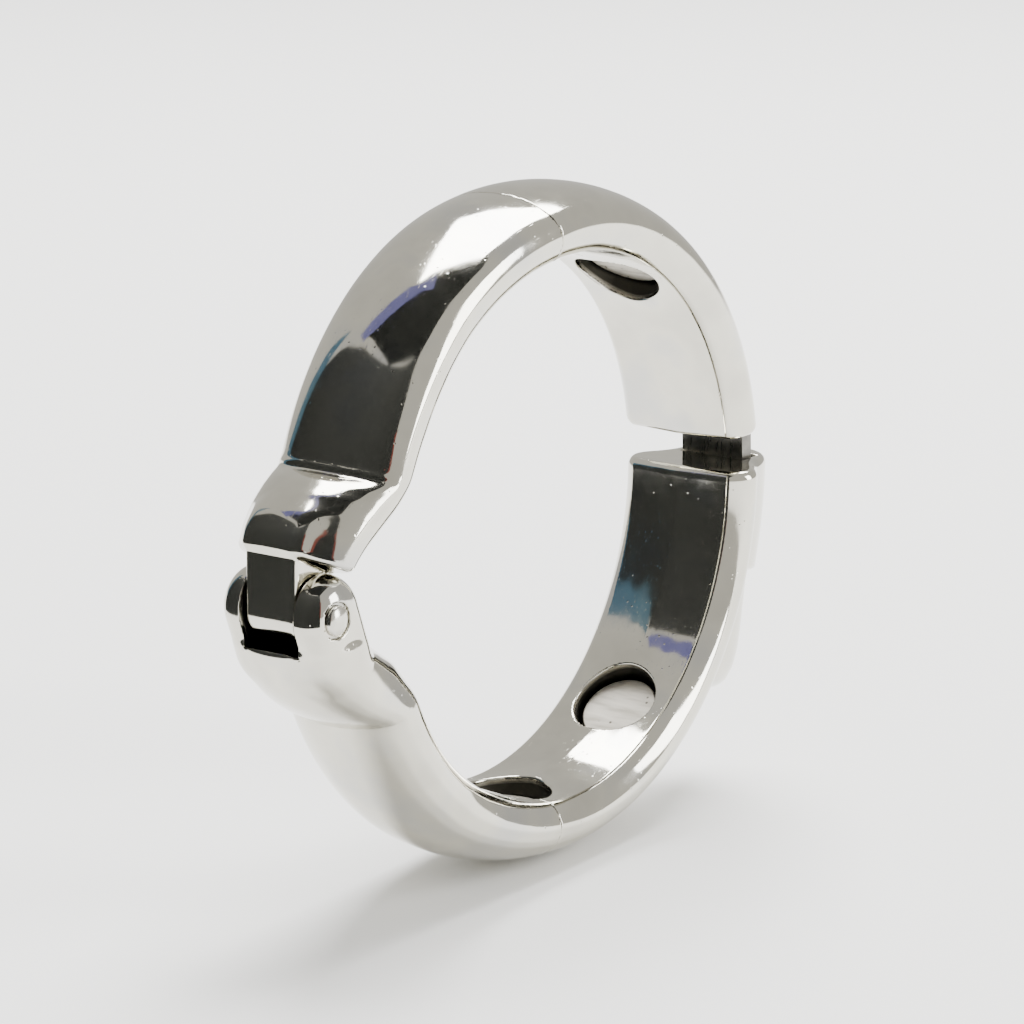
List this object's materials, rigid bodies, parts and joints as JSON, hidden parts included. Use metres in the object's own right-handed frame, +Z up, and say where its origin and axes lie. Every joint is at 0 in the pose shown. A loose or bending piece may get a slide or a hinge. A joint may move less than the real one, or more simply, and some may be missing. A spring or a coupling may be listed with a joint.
{
  "type": "hinged magnetic ring",
  "caption": "Polished hinged ring that opens on a riveted hinge, closes on a toothed tongue held by a thumb lever, and is lined with disc magnets.",
  "frame": {"origin": "centre of the round bore, halfway across the ring's width", "axes": "+Y along the ring's axis, away from the viewer; +X towards the latch, with the hinge at -X; +Z up, so the ring stands like a wheel"},
  "size_m": [0.0598, 0.0114, 0.0502],
  "materials": {
    "casting": "mirror polished",
    "rivet": "polished",
    "hardened": "satin",
    "magnet": "satin nickel plating"
  },
  "bodies": {
    "lower_half": {"lower_hinge_arc": "casting", "lower_latch_arc": "casting", "hinge_pin": "rivet", "lever_pin": "hardened", "lever_spring": "hardened", "magnet_lower_front": "magnet", "magnet_lower_bottom": "magnet"},
    "upper_half": {"upper_hinge_arc": "casting", "upper_latch_arc": "casting", "ratchet_tongue": "hardened", "magnet_upper_front": "magnet", "magnet_upper_top": "magnet"},
    "lever": {"release_lever": "casting"}
  },
  "joints": [
    {"name": "ring_hinge", "type": "hinge", "parent": "lower_half", "child": "upper_half", "pos_m": [-0.02799, 0, -0.00068], "axis": [0, -1, 0], "range_deg": [-2.4, 80]},
    {"name": "lever_press", "type": "hinge", "parent": "lower_half", "child": "lever", "pos_m": [0.02319, 0, -0.00578], "axis": [0, 1, 0], "range_deg": [-3.5, 4], "stiffness_Nm_per_rad": 0.02, "deforming": ["lever_spring"]}
  ]
}
